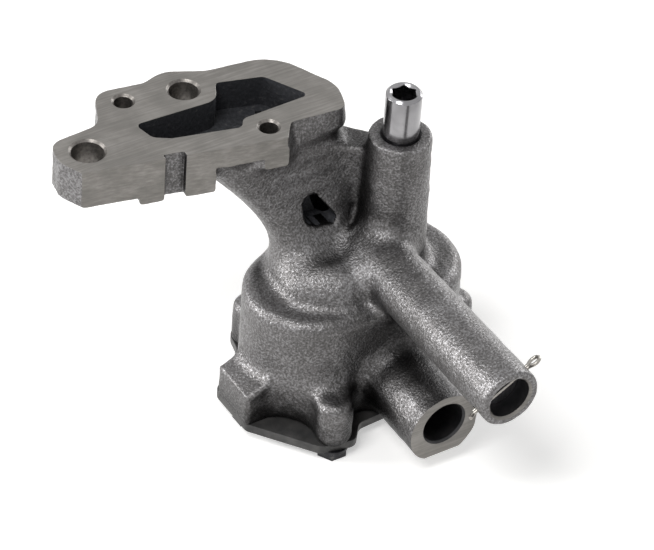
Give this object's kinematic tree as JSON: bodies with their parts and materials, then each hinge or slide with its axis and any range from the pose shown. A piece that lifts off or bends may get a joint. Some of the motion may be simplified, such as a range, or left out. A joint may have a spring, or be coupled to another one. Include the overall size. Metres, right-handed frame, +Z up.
{
  "type": "engine oil pump",
  "caption": "Cast iron gear oil pump with an overhanging mounting flange, drive shaft with hex socket, inlet port, relief valve tube and bolted cover.",
  "frame": {"origin": "on the drive shaft's axis, in the plane of the flange's mounting face, inside the hex socket", "axes": "+Z up along the drive shaft, away from the gears; -Y the way the inlet and the relief valve tube point; the idler gear lies at -X"},
  "size_m": [0.1503, 0.1483, 0.1231],
  "materials": {
    "cast_iron": "shot blasted casting with machined faces",
    "cover_steel": "dark oiled plate",
    "screw_steel": "black oxide",
    "ground_steel": "ground bright",
    "gear_steel": "machined",
    "spring_steel": "oiled",
    "pin_steel": "plain wire"
  },
  "bodies": {
    "housing": {"pump_body": "cast_iron", "pump_cover": "cover_steel", "cover_screw_1": "screw_steel", "cover_screw_2": "screw_steel", "cover_screw_3": "screw_steel", "cover_screw_4": "screw_steel", "cover_screw_5": "screw_steel", "idler_shaft": "ground_steel", "relief_spring": "spring_steel", "spring_seat": "spring_steel", "cotter_pin": "pin_steel"},
    "driver": {"drive_shaft": "ground_steel", "drive_gear": "gear_steel"},
    "idler": {"idler_gear": "gear_steel"},
    "relief_valve": {"relief_piston": "ground_steel"}
  },
  "joints": [
    {"name": "drive_spin", "type": "hinge", "parent": "housing", "child": "driver", "pos_m": [0, 0, -0.087], "axis": [0, 0, 1], "continuous": true},
    {"name": "idler_spin", "type": "hinge", "parent": "housing", "child": "idler", "pos_m": [-0.03175, 0, -0.087], "axis": [0, 0, 1], "continuous": true},
    {"name": "relief_slide", "type": "slide", "parent": "housing", "child": "relief_valve", "axis": [0, -1, 0], "range_m": [0, 0.008], "stiffness_N_per_m": 1500, "springref_m": -0.02, "deforming": ["relief_spring"]}
  ],
  "couplings": [
    {"joint": "idler_spin", "follows": "drive_spin", "ratio": -1}
  ]
}
